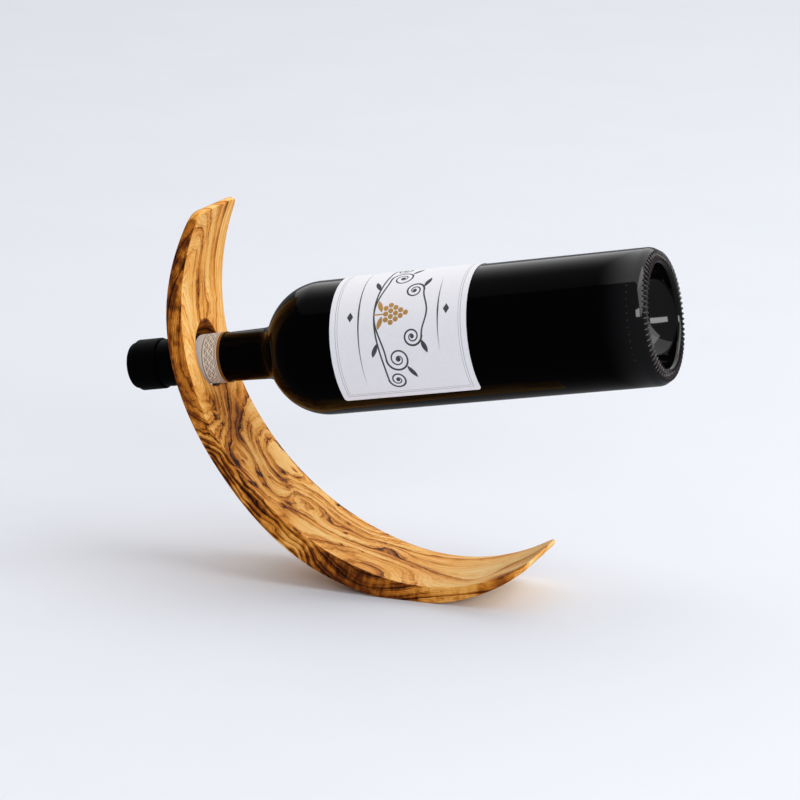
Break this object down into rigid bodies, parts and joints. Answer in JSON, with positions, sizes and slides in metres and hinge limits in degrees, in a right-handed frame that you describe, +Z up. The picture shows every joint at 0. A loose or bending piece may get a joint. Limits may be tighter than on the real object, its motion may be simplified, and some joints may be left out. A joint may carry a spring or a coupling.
{
  "type": "wine bottle holder",
  "caption": "Balancing wine bottle holder: a carved wooden crescent on a short flat foot, with a bottle hung by its neck in a slanted hole and serving as its counterweight.",
  "frame": {"origin": "middle of the crescent's flat foot, on the table", "axes": "+Z up, +X from the bottle's neck towards its base, +Y away from the side that carries the label"},
  "size_m": [0.3139, 0.0741, 0.2058],
  "materials": {
    "olive_wood": "oiled satin",
    "dark_glass": "gloss",
    "red_wine": "liquid",
    "cork": "raw",
    "black_capsule": "matte",
    "strip_paper": "matte",
    "label_paper": "matte"
  },
  "bodies": {
    "holder": {"crescent": "olive_wood"},
    "wine": {"wine": "red_wine"},
    "bottle": {"bottle_glass": "dark_glass", "cork": "cork", "capsule": "black_capsule", "neck_strip": "strip_paper", "front_label": "label_paper"}
  },
  "joints": [
    {"name": "bottle_slide", "type": "slide", "parent": "holder", "child": "wine", "axis": [0.9851, 0, 0.1719], "range_m": [-0.025, 0.07]},
    {"name": "bottle_roll", "type": "hinge", "parent": "wine", "child": "bottle", "pos_m": [0.13392, 0, 0.16306], "axis": [0.9851, 0, 0.1719], "continuous": true}
  ]
}
